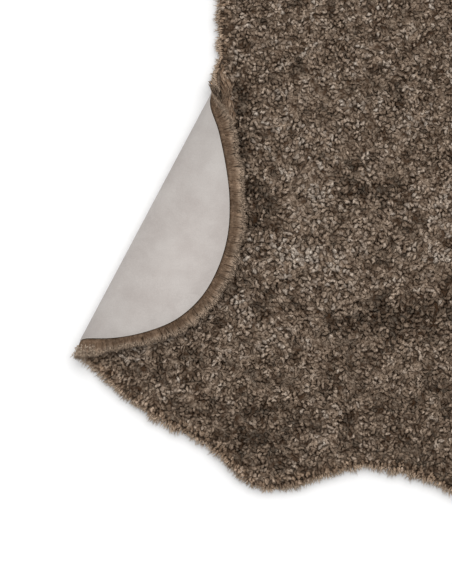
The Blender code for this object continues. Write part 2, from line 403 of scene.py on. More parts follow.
@dataclass(frozen=True)
class Fold:
    """The turn of the left hind leg: a half turn round a straight ridge, which dies out at its upper end."""

    ridge_top: tuple[float, float] = (-265.0 * MM, -87.0 * MM)
    ridge_end: tuple[float, float] = (-395.0 * MM, -332.0 * MM)
    radius: float = 16.8 * MM
    hide_thick: float = 1.8 * MM
    fade_start: float = -25.0 * MM
    fade_length: float = 57.0 * MM
    sag: float = 1.4 * MM
    sag_length: float = 70.0 * MM
    box_middle: tuple[float, float] = (20.5 * MM, 0.8 * MM)

    @property
    def up(self) -> Floats:
        """The way along the ridge, towards its upper end."""
        return unit(np.subtract(self.ridge_top, self.ridge_end))

    @property
    def off(self) -> Floats:
        """The way out of the rug across the ridge."""
        return np.array((-self.up[1], self.up[0]))

    @property
    def length(self) -> float:
        """How long the ridge is."""
        return math.dist(self.ridge_top, self.ridge_end)

    @property
    def half_turn(self) -> float:
        """How much of the hide a whole fold takes."""
        return math.pi * self.radius

    @property
    def fade_from(self) -> float:
        """Where along the ridge the turn starts to die out."""
        return self.length + self.fade_start

    @property
    def fade_end(self) -> float:
        """Where along the ridge the hide is flat again."""
        return self.fade_from + self.fade_length

    @property
    def foot(self) -> Floats:
        """Where the bend starts, at the lower end of the ridge."""
        return np.array(self.ridge_end) - self.off * (self.radius + self.hide_thick / 2)

    def place(self, spots: Floats) -> tuple[Floats, Floats]:
        """Where spots of the flat hide are, measured from the fold.

        Args:
            spots: rows that start with x and y, in metres.

        Returns:
            How far along the ridge each spot is, and how far past the start of the bend.
        """
        across = spots[:, :2] - self.foot
        return across @ self.up, across @ self.off

    def turn(self, along: Floats) -> Floats:
        """The whole angle of the bend at places along the ridge."""
        return math.pi * (1.0 - ease((along - self.fade_from) / self.fade_length))

    def turned_over(self, spots: Floats) -> Floats:
        """How far the hide is turned over at each spot: 0 where it lies flat, 1 past the whole bend."""
        along, past = self.place(spots)
        return ease(past / self.half_turn) * self.turn(along) / math.pi

    def laid(self, spots: Floats) -> Floats:
        """Lays points of the flat skin where the folded rug has them.

        Args:
            spots: rows of x, y and the height above the middle of the hide, in metres.

        Returns:
            Rows of x, y and z in the rug's own frame.
        """
        along, past = self.place(spots)
        turn = self.turn(along)
        over = ease((past - self.half_turn / 2) / self.half_turn) * turn / math.pi
        height = spots[:, 2].copy()
        lifted = over > 0.0
        if lifted.any():
            wave = ripple(spots[lifted], self.sag_length, 3.0)
            height[lifted] += self.sag * over[lifted] * wave
        forward = np.maximum(past, 0.0)
        angle = np.minimum(forward / self.radius, turn)
        straight = forward - self.radius * angle
        out = (self.radius - height) * np.sin(angle) + straight * np.cos(angle)
        rise = self.radius - (self.radius - height) * np.cos(angle) + straight * np.sin(angle)
        level = spots[:, :2] + self.off * (out - forward)[:, None]
        return np.column_stack((level - np.array(self.box_middle), rise + self.hide_thick / 2))


@dataclass(frozen=True)
class Outline:
    """The cut edge of the flat hide."""

    half_width: float = 250.0
    right_reach: float = 0.88
    right_drop: float = 3.0

    def knots(self) -> Floats:
        """The named places of the whole edge, clockwise from the tail.

        Returns:
            Rows of x and y, in metres.
        """
        left = [(x, y) for _, x, y in LEFT_EDGE]
        right = []
        for _, x, y in reversed(LEFT_EDGE[1:-1]):
            reach = -x
            if reach > self.half_width:
                reach = self.half_width + (reach - self.half_width) * self.right_reach
            right.append((reach, y - self.right_drop * math.sin(y / self.half_width)))
        return np.array(left + right) * MM

    def smooth(self, steps: int = 24) -> Floats:
        """A closed centripetal Catmull-Rom line through the knots.

        Args:
            steps: how many points each stretch between two knots gets.

        Returns:
            Rows of x and y, in metres.
        """
        knots = self.knots()
        line = []
        for i in range(len(knots)):
            a, b, c, d = (knots[(i + k) % len(knots)] for k in (-1, 0, 1, 2))
            at_b = math.sqrt(math.dist(a, b))
            at_c = at_b + math.sqrt(math.dist(b, c))
            at_d = at_c + math.sqrt(math.dist(c, d))
            at = (at_b + (at_c - at_b) * np.arange(steps) / steps)[:, None]
            ab = a + (b - a) * at / at_b
            bc = b + (c - b) * (at - at_b) / (at_c - at_b)
            cd = c + (d - c) * (at - at_c) / (at_d - at_c)
            abc = ab + (bc - ab) * at / at_c
            bcd = bc + (cd - bc) * (at - at_b) / (at_d - at_b)
            line.append(abc + (bcd - abc) * (at - at_b) / (at_c - at_b))
        return np.concatenate(line)

    def ring(self, count: int) -> tuple[Floats, Floats]:
        """The edge as evenly spaced points.

        Args:
            count: how many points.

        Returns:
            The points, and the way out of the hide at each.
        """
        line = self.smooth()
        closed = np.vstack((line, line[:1]))
        along = np.concatenate(((0.0,), np.cumsum(np.linalg.norm(np.diff(closed, axis=0), axis=1))))
        at = along[-1] * np.arange(count) / count
        points = np.column_stack([np.interp(at, along, closed[:, k]) for k in (0, 1)])
        reach = max(1, round(count / 300))
        step = unit(np.roll(points, -reach, axis=0) - np.roll(points, reach, axis=0))
        return points, np.column_stack((-step[:, 1], step[:, 0]))


@dataclass
class Skin:
    """What the hide and the wool share: the outline, the fold and how a sheet is laid over them."""

    fold: Fold = field(default_factory=Fold)
    outline: Outline = field(default_factory=Outline)

    def rows(self, loop: Floats, rows: int, step: float, clear: float) -> Floats:
        """Points in rows along the bend.

        Args:
            loop: the edge that they stay inside.
            rows: how many rows there are from the start of the bend to its end.
            step: how far apart the points of a row are.
            clear: how far they stay from the edge.

        Returns:
            Rows of x and y.
        """
        fold = self.fold
        along = np.arange(-fold.half_turn, fold.fade_end, step)
        past = fold.half_turn * np.arange(rows) / (rows - 1)
        grid_along, grid_past = np.meshgrid(along, past)
        shift = np.where(np.arange(rows) % 2 == 1, step / 2, 0.0)[:, None]
        grid_along = grid_along + shift
        spots = fold.foot + grid_along.reshape(-1, 1) * fold.up + grid_past.reshape(-1, 1) * fold.off
        return spots[depth_inside(spots, loop) > clear]

    def filled(self, loop: Floats, step: float, rows: int, row_step: float) -> tuple[Floats, Whole]:
        """Fills a loop with triangles.

        Args:
            loop: the edge, rows of x and y.
            step: about how long the triangles' sides are.
            rows: how many rows of points the bend gets.
            row_step: how far apart the points of a row are.

        Returns:
            The points, the loop's own first, and the triangles, all with their corners anticlockwise.
        """
        fold = self.fold
        rng = np.random.default_rng(29)
        low, high = loop.min(axis=0), loop.max(axis=0)
        across, upward = np.meshgrid(
            np.arange(low[0], high[0], step), np.arange(low[1], high[1], step * math.sqrt(0.75))
        )
        across[1::2] += step / 2
        grid = np.column_stack((across.ravel(), upward.ravel()))
        grid += rng.uniform(-0.16, 0.16, grid.shape) * step
        along, past = fold.place(grid)
        strip = 0.45 * step
        in_bend = (past > -strip) & (past < fold.half_turn + strip) & (along < fold.fade_end + strip)
        grid = grid[~in_bend]
        grid = grid[depth_inside(grid, loop) > 0.5 * step]
        spots = np.vstack((loop, self.rows(loop, rows, row_step, 0.35 * step), grid))
        flat = [Vector(p) for p in spots.tolist()]
        ring = [list(range(len(loop)))[::-1]]
        _, _, faces, came_from, _, _ = delaunay_2d_cdt(flat, [], ring, 1, 1e-8)
        back = np.array([origins[0] for origins in came_from])
        made = back[np.array([list(face) for face in faces])]
        corner = spots[made]
        turned = np.cross(corner[:, 1] - corner[:, 0], corner[:, 2] - corner[:, 0]) < 0.0
        made[turned] = made[turned][:, ::-1]
        return spots, made


@dataclass(frozen=True)
class SuedeFinish:
    """Bare tanned skin: pale warm grey, matt, with a fine nap and soft clouds."""

    light: tuple[float, float, float] = (0.500, 0.466, 0.440)
    shade: tuple[float, float, float] = (0.420, 0.381, 0.358)
    cut: tuple[float, float, float] = (0.60, 0.56, 0.52)
    roughness: float = 0.88
    sheen: float = 0.12
    cloud_scale: float = 15.0
    nap_scale: float = 900.0
    crease_scale: float = 42.0
    cut_scale: float = 1400.0

    def material(self) -> bpy.types.Material:
        """The node material of the flesh side.

        Returns:
            The material, which multiplies the broad shading of the piece into its colour.
        """
        nodes = Nodes(
            "suede",
            {
                "Roughness": self.roughness,
                "Sheen Weight": self.sheen,
                "Sheen Roughness": 0.5,
                "Specular IOR Level": 0.25,
            },
        )
        where = nodes.add("TexCoord")
        clouds = nodes.add("TexNoise", {"Scale": self.cloud_scale, "Detail": 5.0, "Roughness": 0.62})
        nap = nodes.add("TexNoise", {"Scale": self.nap_scale, "Detail": 3.0})
        creases = nodes.add("TexNoise", {"Scale": self.crease_scale, "Detail": 4.0, "Distortion": 1.6})
        for texture in (clouds, nap, creases):
            nodes.join(where, "Object", texture, "Vector")
        ramp = nodes.ramp((0.36, self.shade), (0.62, self.light))
        nodes.join(clouds, "Fac", ramp, "Fac")
        fine = nodes.spread(0.3, 0.7, 0.95, 1.05)
        nodes.join(nap, "Fac", fine, "Value")
        mixed = nodes.vector("SCALE")
        nodes.join(ramp, "Color", mixed, 0)
        nodes.join(fine, "Result", mixed, "Scale")
        toned = nodes.vector("MULTIPLY")
        nodes.join(mixed, "Vector", toned, 0)
        nodes.join(nodes.tint(), "Color", toned, 1)
        nodes.join(toned, "Vector", nodes.shader, "Base Color")
        slack = nodes.bump(creases, "Fac", 0.5, 2.0 * MM)
        grain = nodes.bump(nap, "Fac", 0.3, 0.3 * MM, slack)
        nodes.join(grain, "Normal", nodes.shader, "Normal")
        return nodes.material

    def cut_material(self) -> bpy.types.Material:
        """The paler, fibrous cut edge.

        Returns:
            The material.
        """
        nodes = Nodes("suede_cut_edge", {"Roughness": 0.95})
        fibres = nodes.add("TexNoise", {"Scale": self.cut_scale})
        nodes.join(nodes.add("TexCoord"), "Object", fibres, "Vector")
        ramp = nodes.ramp((0.3, tuple(0.8 * c for c in self.cut)), (0.65, self.cut))
        nodes.join(fibres, "Fac", ramp, "Fac")
        nodes.join(ramp, "Color", nodes.shader, "Base Color")
        return nodes.material


@dataclass(frozen=True)
class WoolFinish:
    """Clipped grey-brown wool: dark roots, paler rounded tips, fine fibres along each curl, and painted
    shade in the gaps between clumps.
    """

    # gap is painted shade in the gaps between clumps; root is the curls' dark roots and also their painted
    # shade down their sides
    gap: tuple[float, float, float] = (0.035, 0.014, 0.004)
    root: tuple[float, float, float] = (0.060, 0.032, 0.015)
    body: tuple[float, float, float] = (0.290, 0.217, 0.160)
    crest: tuple[float, float, float] = (0.458, 0.406, 0.350)
    rim_body: tuple[float, float, float] = (0.320, 0.228, 0.160)
    # rim_tip, fuzz and flap_tip: pale points of the wool, partly painted light where the points catch the
    # light
    rim_tip: tuple[float, float, float] = (0.64, 0.51, 0.39)
    fuzz: tuple[float, float, float] = (0.70, 0.56, 0.43)
    flap_body: tuple[float, float, float] = (0.165, 0.110, 0.073)
    flap_inner: tuple[float, float, float] = (0.195, 0.132, 0.090)
    flap_tip: tuple[float, float, float] = (0.425, 0.324, 0.241)
    roughness: float = 0.85
    fibre_scale: float = 520.0
    drift_scale: float = 140.0
    drift: float = 9.0 * MM
    clump_scale: float = 165.0

    def material(self, name: str, clumps: tuple[float, float], fibres_share: float) -> bpy.types.Material:
        """The node material, which takes each curl's own colour and adds its fibres, and its clumps with
        painted light in their middles and painted shade in the gaps between them.

        Args:
            name: the material's name.
            clumps: how light the middle of a clump is painted, and how dark the painted shade in the gaps
                between clumps is.
            fibres_share: how much lighter and darker the fibres are.

        Returns:
            The material.
        """
        nodes = Nodes(name, {"Roughness": self.roughness, "Specular IOR Level": 0.03})
        where = nodes.add("TexCoord")
        fibres = nodes.add("TexNoise", {"Scale": self.fibre_scale, "Detail": 3.0, "Roughness": 0.7})
        nodes.join(where, "Object", fibres, "Vector")
        spread = nodes.spread(0.35, 0.65, 1.0 - fibres_share, 1.0 + fibres_share)
        nodes.join(fibres, "Fac", spread, "Value")
        drift = nodes.add("TexNoise", {"Scale": self.drift_scale, "Detail": 2.0})
        nodes.join(where, "Object", drift, "Vector")
        moved = nodes.vector("MULTIPLY_ADD")
        moved.inputs[1].default_value = (self.drift,) * 3
        nodes.join(drift, "Color", moved, 0)
        nodes.join(where, "Object", moved, 2)
        cells = nodes.add("TexVoronoi", {"Scale": self.clump_scale})
        nodes.join(moved, "Vector", cells, "Vector")
        gaps = nodes.spread(0.2, 0.8, *clumps)
        nodes.join(cells, "Distance", gaps, "Value")
        both = nodes.add("Math")
        both.operation = "MULTIPLY"
        nodes.join(spread, "Result", both, 0)
        nodes.join(gaps, "Result", both, 1)
        # the curl's own colour goes over towards the gap colour where clumps meet, as painted shade, and
        # past it in a clump's middle, as painted light
        mixed = nodes.add("Mix")
        mixed.data_type = "RGBA"
        mixed.clamp_factor = False
        mixed.inputs["A"].default_value = (*self.gap, 1.0)
        nodes.join(both, "Value", mixed, "Factor")
        nodes.join(nodes.tint(), "Color", mixed, "B")
        nodes.join(mixed, "Result", nodes.shader, "Base Color")
        rounded = nodes.bump(gaps, "Result", min(1.0, clumps[0] - clumps[1]), 2.0 * MM)
        hairy = nodes.bump(fibres, "Fac", 0.8, 1.0 * MM, rounded)
        nodes.join(hairy, "Normal", nodes.shader, "Normal")
        return nodes.material


@dataclass
class Hide:
    """The tanned hide, one sheet of even thickness, flat on the floor but for the folded hind leg."""

    skin: Skin
    finish: SuedeFinish = field(default_factory=SuedeFinish)
    thick: float = 1.8 * MM
    ring_points: int = 900
    step: float = 16.0 * MM
    bend_rows: int = 25
    row_step: float = 7.0 * MM
    edge_round: float = 0.35 * MM
    upper_shade: float = 0.10
    upper_from: float = 110.0 * MM
    upper_fade: float = 100.0 * MM
    lower_shade: float = 0.09
    lower_fade: float = 90.0 * MM
    bend_shade: float = 0.06
    bend_fade: float = 22.0 * MM
    middle_light: float = 0.08
    middle_place: tuple[float, float] = (125.0 * MM, 36.0 * MM)
    middle_size: tuple[float, float] = (50.0 * MM, 26.0 * MM)

    def both_sides(self, spots: Floats, loop: Floats, ways: Floats) -> Floats:
        """Gives the flat sheet its thickness and a rounded cut edge.

        Args:
            spots: the sheet's points, those of the edge first.
            loop: the edge.
            ways: the way out of the hide at each point of the edge.

        Returns:
            The places of the underside and the upper side, then the lower and upper line of the cut edge.
        """
        count, edge, half = len(spots), len(loop), self.thick / 2
        inner = spots.copy()
        inner[:edge] -= ways * self.edge_round
        under = np.column_stack((inner, np.full(count, -half)))
        upper = np.column_stack((inner, np.full(count, half)))
        low_rim = np.column_stack((loop, np.full(edge, -half + self.edge_round)))
        high_rim = np.column_stack((loop, np.full(edge, half - self.edge_round)))
        return np.vstack((under, upper, low_rim, high_rim))

    def tone(self, places: Floats) -> Floats:
        """The folded leg's broad shading: darker at its ends and by the bend, and lighter in its middle.

        Args:
            places: rows that start with x and y of the flat hide, in metres.

        Returns:
            One value for each place, about 1.
        """
        fold = self.skin.fold
        along, past = fold.place(places)
        past = past - fold.half_turn
        tone = 1.0 - self.upper_shade * ease((along - fold.length + self.upper_from) / self.upper_fade)
        tone -= self.lower_shade * ease((self.lower_fade - along) / self.lower_fade)
        tone -= self.bend_shade * ease((self.bend_fade - past) / self.bend_fade)
        lengthwise = ((along - self.middle_place[0]) / self.middle_size[0]) ** 2
        crosswise = ((past - self.middle_place[1]) / self.middle_size[1]) ** 2
        return tone + self.middle_light * np.exp(-lengthwise - crosswise)

    def build(self) -> bpy.types.Object:
        """Makes the sheet and dresses it.

        Returns:
            The piece.
        """
        loop, ways = self.skin.outline.ring(self.ring_points)
        spots, faces = self.skin.filled(loop, self.step, self.bend_rows, self.row_step)
        flat = self.both_sides(spots, loop, ways)
        count, edge = len(spots), len(loop)
        lines = (0, 2 * count, 2 * count + edge, count)
        sides = [strip(low, high, edge) for low, high in zip(lines, lines[1:])]
        every = np.vstack((faces[:, ::-1], faces + count, *sides))
        tint = np.repeat(self.tone(flat)[:, None], 3, axis=1)
        piece = make_piece("suede_hide", self.skin.fold.laid(flat), every, tint)
        piece.data.materials.append(self.finish.material())
        piece.data.materials.append(self.finish.cut_material())
        slots = np.zeros(len(every), dtype=np.int32)
        slots[2 * len(faces):] = 1
        piece.data.polygons.foreach_set("material_index", slots)
        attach(piece, "root")
        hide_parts("hide")
        return piece


@dataclass
class Pile:
    """How high the wool stands over each place of the flat hide."""

    skin: Skin
    edge_points: int = 600
    free: float = 22.0 * MM
    pressed: float = 15.4 * MM
    in_bend: float = 13.2 * MM
    lump: float = 2.2 * MM
    lump_length: float = 34.0 * MM
    tuft: float = 1.1 * MM
    flap_reach: float = 17.0 * MM
    press_margin: float = 6.0 * MM
    press_fade: float = 24.0 * MM
    rim_round: float = 11.0 * MM
    rim_out: float = 10.5 * MM
    rim_low: float = 5.5 * MM
    widest_at: float = 5.0 * MM
    side_radius: float = 19.0 * MM
    flap: Floats = field(init=False)
    loop: Floats = field(init=False)
    ways: Floats = field(init=False)

    def __post_init__(self) -> None:
        """Finds the edge, and the part of the floor that the flap covers."""
        fold = self.skin.fold
        self.loop, self.ways = self.skin.outline.ring(self.edge_points)
        _, past = fold.place(self.loop)
        on = past > 0.0
        tips = np.column_stack((self.loop[on] + self.ways[on] * self.flap_reach, np.zeros(on.sum())))
        self.flap = fold.laid(tips)[:, :2] + np.array(fold.box_middle)

    def under_flap(self, spots: Floats) -> Floats:
        """How far inside the flap's outline each spot is, below 0 outside it."""
        return depth_inside(spots, self.flap)

    def height(self, spots: Floats) -> Floats:
        """The height of the wool above the middle of the hide, away from the rim.

        Args:
            spots: rows of x and y of the flat hide, in metres.

        Returns:
            One height for each spot: full where the wool is free, less where the folded leg presses on it.
        """
        fold = self.skin.fold
        along, past = fold.place(spots)
        free = ease((-self.under_flap(spots) - self.press_margin) / self.press_fade)
        beyond = ease((along - fold.fade_end) / self.press_fade)
        beside = ease((-past - self.press_margin) / self.press_fade)
        share = np.where(past < 0.0, np.maximum(beyond, np.minimum(free, beside)), beyond)
        stand = self.pressed + (self.free - self.pressed) * share
        drawn = np.sin(math.pi * np.clip(past / fold.half_turn, 0.0, 1.0)) * (1.0 - share)
        stand += (self.in_bend - self.pressed) * drawn
        lumps = ripple(spots, self.lump_length, 0.2) * self.lump
        lumps += ripple(spots, self.lump_length / 2.3, 7.0) * self.tuft
        return stand + lumps * (0.12 + 0.88 * share)

    def profile(self, out: Floats, height: Floats) -> tuple[Floats, Floats]:
        """The rounded side of the wool near the rim.

        Args:
            out: how far outside the hide's edge, below 0 inside it.
            height: how high the wool stands away from the rim.

        Returns:
            The height there, and how steeply it falls outwards.
        """
        reach = self.rim_round + self.rim_out
        share = np.clip((out + self.rim_round) / reach, 0.0, 0.97)
        round_off = np.sqrt(1.0 - share**2)
        level = self.rim_low + (height - self.rim_low) * round_off
        return level, (height - self.rim_low) * share / (round_off * reach)

    def stands_out(self, level: Floats) -> Floats:
        """How far the wool's side stands out past the cut edge at each height."""
        bow = (level - self.widest_at) / self.side_radius
        return self.rim_out * np.sqrt(np.clip(1.0 - bow**2, 0.0, 1.0))


@dataclass
class Spindles:
    """Many closed, curved, tapering tufts in one mesh: three-sided tubes with a point at each end."""

    rings: int = 3
    sides: int = 3
    spokes: tuple[float, ...] = (90.0, 192.0, 348.0)

    @property
    def corners(self) -> int:
        """How many places one tuft has."""
        return self.rings * self.sides + 2

    def faces(self) -> Whole:
        """The triangles of one tuft.

        Returns:
            Rows of three place numbers.
        """
        last = self.corners - 1
        made = []
        for k in range(self.sides):
            after = (k + 1) % self.sides
            made.append((0, 1 + after, 1 + k))
            for ring in range(self.rings - 1):
                a, b = 1 + ring * self.sides, 1 + (ring + 1) * self.sides
                made.append((a + k, a + after, b + k))
                made.append((a + after, b + after, b + k))
            top = 1 + (self.rings - 1) * self.sides
            made.append((top + k, top + after, last))
        return np.array(made)

    def places(self, paths: Floats, widths: Floats, uprights: Floats, flat: float = 1.0) -> Floats:
        """The places of all tufts.

        Args:
            paths: for each tuft, rings + 2 points along its middle.
            widths: for each tuft, half its width at each ring.
            uprights: for each tuft, the way that its back faces.
            flat: how thick a tuft is for its width.

        Returns:
            An array of tufts, corners and x, y and height.
        """
        count = len(paths)
        middle = paths[:, 1:-1]
        run = unit(paths[:, 2:] - paths[:, :-2])
        side = unit(np.cross(run, uprights[:, None, :]))
        back = np.cross(side, run)
        found = np.zeros((count, self.corners, 3))
        found[:, 0] = paths[:, 0]
        found[:, -1] = paths[:, -1]
        for k in range(self.sides):
            turn = math.radians(self.spokes[k])
            spoke = side * math.cos(turn) + back * (math.sin(turn) * flat)
            spots = middle + spoke * widths[..., None]
            found[:, 1 + k:1 + self.rings * self.sides:self.sides] = spots
        return found

    def shares(self) -> Floats:
        """How far along its tuft each place is, from 0 to 1."""
        inner = np.repeat(np.arange(1, self.rings + 1), self.sides)
        return np.concatenate(((0,), inner, (self.rings + 1,))) / (self.rings + 1)

    def facing(self) -> Floats:
        """1 for the places along a tuft's back, and 0 for those down its sides."""
        inner = np.tile((np.arange(self.sides) == 0).astype(float), self.rings)
        return np.concatenate(((0.5,), inner, (0.5,)))

    def piece(self, name: str, places: Floats, tint: Floats, fold: Fold) -> bpy.types.Object:
        """Lays the tufts on the folded rug and joins them into one object.

        Args:
            name: the piece's name.
            places: an array of tufts, corners and x, y and height, on the flat hide.
            tint: an array of tufts, corners and red, green and blue.
            fold: what lays them on the rug.

        Returns:
            The object.
        """
        count = len(places)
        offsets = np.arange(count)[:, None, None] * self.corners
        faces = (self.faces()[None] + offsets).reshape(-1, 3)
        return make_piece(name, fold.laid(places.reshape(-1, 3)), faces, tint.reshape(-1, 3))


@dataclass
class Fleece:
    """The wool: a ground painted dark as the shade under the curls, the curls of the clipped pile, and finer
    locks round the rim.
    """

    skin: Skin
    finish: WoolFinish = field(default_factory=WoolFinish)
    base: float = 1.4 * MM
    curl_step: float = 4.32 * MM
    curl_length: tuple[float, float] = (4.3 * MM, 7.3 * MM)
    curl_width: tuple[float, float] = (1.6 * MM, 2.7 * MM)
    curl_rows: float = 0.866
    curl_scatter: float = 0.42
    curl_margin: float = 8.0 * MM
    curl_reach: float = 6.5 * MM
    button_share: float = 0.6
    curl_rise: float = 3.2 * MM
    curl_sink: float = 3.6 * MM
    ground_sink: float = 3.4 * MM
    ground_step: float = 4.2 * MM
    ground_rows: int = 20
    under_step: float = 20.0 * MM
    under_rows: int = 8
    ground_lump: float = 2.4 * MM
    ground_painted_shade: float = 0.75
    band_names: tuple[str, ...] = ("rump", "loin", "back", "shoulder", "neck")
    band_steps: int = 997
    rim_points: int = 6000
    rim_gap: float = 1.33 * MM
    rim_levels: tuple[float, ...] = (1.5, 3.6, 6.4, 9.6, 12.8)
    flap_points: int = 12000
    flap_gap: float = 0.8 * MM
    flap_bundles: tuple[float, float] = (7.0, 19.0)
    flap_levels: tuple[tuple[float, float], ...] = (
        (0.3, 0.42),
        (0.8, 0.98),
        (1.4, 1.03),
        (2.2, 1.0),
        (3.6, 0.98),
        (5.8, 0.94),
        (9.0, 0.84),
    )
    bend_hang: float = 11.0 * MM
    flap_hang: float = 7.4 * MM
    corner_hang: float = 5.0 * MM
    flap_tufts: float = 2.4 * MM
    clump_size: float = 9.5 * MM
    wisps: float = 0.2
    fuzz_gap: float = 0.6 * MM
    calm_place: tuple[float, float] = (-264.0 * MM, -66.0 * MM)
    calm_reach: float = 38.0 * MM
    corner_reach: float = 24.0 * MM
    corner_out: float = 6.0 * MM
    mound_place: tuple[float, float] = (-140.0 * MM, -245.0 * MM)
    mound_reach: float = 80.0 * MM
    rump_from: float = -290.0 * MM
    rump_fade: float = 50.0 * MM
    small_from: float = -190.0 * MM
    small_fade: float = 60.0 * MM
    turn_locks: int = 1500
    turn_lean: float = 0.12
    turn_left: float = -272.0 * MM
    fringe_hairs: int = 1900
    tuft_hairs: int = 520

    def __post_init__(self) -> None:
        """Prepares the pile's heights and the shared material."""
        self.pile = Pile(self.skin)
        self.material = self.finish.material("wool", (1.25, 0.5), 0.5)
        self.combed = self.finish.material("wool_combed", (1.12, 0.75), 0.3)

    def dress(self, piece: bpy.types.Object, material: bpy.types.Material | None = None) -> None:
        """Gives a piece of the wool its finish and its place in the model.

        Args:
            piece: the object.
            material: its finish, or nothing for that of the curls.
        """
        piece.data.materials.append(material or self.material)
        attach(piece, "root")
        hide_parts("fleece")
        LOG.info("%s: %d triangles", piece.name, len(piece.data.polygons))

    def ground(self) -> None:
        """The clumpy body of the wool, which shows between the curls and is painted darker, as the shade
        down among them.
        """
        pile = self.pile
        loop, edge = pile.loop, len(pile.loop)
        low_spots, low_faces = self.skin.filled(loop, self.under_step, self.under_rows, self.under_step)
        spots, faces = self.skin.filled(loop, self.ground_step, self.ground_rows, self.ground_step)
        out = -depth_inside(spots, loop)
        out[:edge] = 0.0
        level, _ = pile.profile(out, pile.height(spots))
        rough = ripple(spots, 8.0 * MM, 4.0) + 0.5 * ripple(spots, 4.2 * MM, 5.0)
        top = np.column_stack((spots, level - self.ground_sink + rough * self.ground_lump))
        top[:, 2] = np.maximum(top[:, 2], self.base + 1.5 * MM)
        middle = np.column_stack((loop + pile.ways * 4.0 * MM, np.full(edge, 6.0 * MM)))
        bottom = np.column_stack((low_spots, np.full(len(low_spots), self.base)))
        first, second = len(low_spots), len(low_spots) + len(spots)
        sides = (strip(0, second, edge), strip(second, first, edge))
        every = np.vstack((low_faces[:, ::-1], faces + first, *sides))
        places = self.skin.fold.laid(np.vstack((bottom, top, middle)))
        # painted shade: dark on the underside and on the side at the rim, and on top darker than the curls,
        # with painted light on its raised lumps
        tone = np.full(len(places), 0.4)
        tone[first:second] = self.ground_painted_shade * self.shade(spots) * (1.0 + 0.35 * rough)
        piece = make_piece("wool_ground", places, every, np.array(self.finish.body)[None] * tone[:, None])
        self.dress(piece, self.finish.material("wool_ground", (1.35, 0.2), 0.5))

    def clump(self, spots: Floats) -> Floats:
        """How far the curls of small round clumps stand up, from about 0.5 down to -0.5."""
        places = spots[:, :2] / self.clump_size
        return np.array([0.5 - noise.voronoi(Vector((x, y, 0.0)))[0][0] for x, y in places.tolist()])

    def shade(self, spots: Floats) -> Floats:
        """How light the wool is painted: broad patches of tone that differs at random, painted light on the
        small clumps that stand up, and the painted light and shade of the listed patches.

        Args:
            spots: rows of x and y of the flat hide, in metres.

        Returns:
            One value for each spot, about 1.
        """
        tone = 1.0 + ripple(spots, 52.0 * MM, 21.0) * 0.24 + ripple(spots, 17.0 * MM, 22.0) * 0.5
        # painted light on the small clumps that stand up, painted shade where they meet
        tone += self.clump(spots) * 0.7
        # the painted light, shade and shadow of the listed patches
        for _, x, y, half_length, half_width, turn, lighter in PAINTED_LIGHT_AND_SHADE:
            away = spots[:, :2] - np.array((x, y)) * MM
            way = np.array((math.cos(math.radians(turn)), math.sin(math.radians(turn))))
            along = away @ way / (half_length * MM)
            aside = (away[:, 1] * way[0] - away[:, 0] * way[1]) / (half_width * MM)
            tone += lighter * np.exp(-(along**2 + aside**2))
        return np.clip(tone, 0.35, 1.8)

    def shown(self, spots: Floats, inside: Floats) -> Floats:
        """Which spots of the wool can be seen at all.

        Args:
            spots: rows of x and y of the flat hide, in metres.
            inside: how far inside the edge each one is.

        Returns:
            True for each spot that isn't pressed shut inside the fold.
        """
        fold = self.skin.fold
        along, past = fold.place(spots)
        shut = (past > 0.0) & (fold.turn(along) > 0.9 * math.pi) & (inside > 10.0 * MM)
        covered = (past <= 0.0) & (self.pile.under_flap(spots) > 13.0 * MM)
        return ~shut & ~covered

    def curls(self) -> None:
        """The curls of the top: small arches that lie every way, in bands along the back."""
        pile = self.pile
        rng = np.random.default_rng(7)
        spots, out = self.curl_spots(rng)
        count = len(spots)
        ways = pile.ways[self.nearest(spots, out)]
        level, fall = pile.profile(out, pile.height(spots))
        upright = unit(np.column_stack((ways * fall[:, None], np.ones(count))))
        at_rim = ease((out + 9.0 * MM) / (12.0 * MM))
        heading = self.curl_heading(spots, ways, upright, at_rim, rng)
        mound = self.mound(spots)
        button = rng.random(count) < self.button_share + 0.35 * mound
        size = 1.0 + 0.16 * mound - 0.12 * ease((spots[:, 1] - self.small_from) / self.small_fade)
        length = rng.uniform(*self.curl_length, count) * np.where(button, 0.72, 1.0) * size
        width = rng.uniform(*self.curl_width, count) * np.where(button, 1.25, 1.0) * (1.0 + 0.1 * mound)
        bow = rng.normal(0.0, 1.5, count) * MM
        lift = rng.normal(0.0, 0.8, count) * MM + self.clump(spots) * 3.2 * MM
        share = np.array((0.0, 0.14, 0.5, 0.86, 1.0))
        arch = np.sin(math.pi * share) ** 0.7
        ahead = (share - 0.5)[None] * length[:, None]
        aside = bow[:, None] * (1.0 - (2.0 * share - 1.0) ** 2)[None]
        above = self.curl_rise * arch[None] - self.curl_sink + lift[:, None] - width[:, None] * 0.5
        side = np.cross(upright, heading)
        origin = np.column_stack((spots, level))
        paths = paths_from(origin, (heading, ahead), (side, aside), (upright, above))
        widths = width[:, None] * np.array((0.85, 1.0, 0.8))[None]
        spindles = Spindles()
        places = spindles.places(paths, widths, upright, 0.9)
        tones = self.curl_tones(spots, out, lift, at_rim, spindles, rng)
        self.curl_bands(spots, places, tones, spindles)

    def curl_spots(self, rng: np.random.Generator) -> tuple[Floats, Floats]:
        """Where the curls grow: an uneven grid over all of the wool that can be seen.

        Args:
            rng: where the unevenness comes from.

        Returns:
            Rows of x and y of the flat hide, and how far outside its edge each one is.
        """
        loop, step = self.pile.loop, self.curl_step
        low, high = loop.min(axis=0) - self.curl_margin, loop.max(axis=0) + self.curl_margin
        rows_up = np.arange(low[1], high[1], step * self.curl_rows)
        across, upward = np.meshgrid(np.arange(low[0], high[0], step), rows_up)
        across[1::2] += step / 2
        spots = np.column_stack((across.ravel(), upward.ravel()))
        spots += rng.uniform(-self.curl_scatter, self.curl_scatter, spots.shape) * step
        out = -depth_inside(spots, loop)
        near = out < self.curl_reach + 0.7 * self.scallops(spots) - 9.0 * MM * self.calm(spots)
        spots, out = spots[near], out[near]
        seen = self.shown(spots, -out)
        return spots[seen], out[seen]

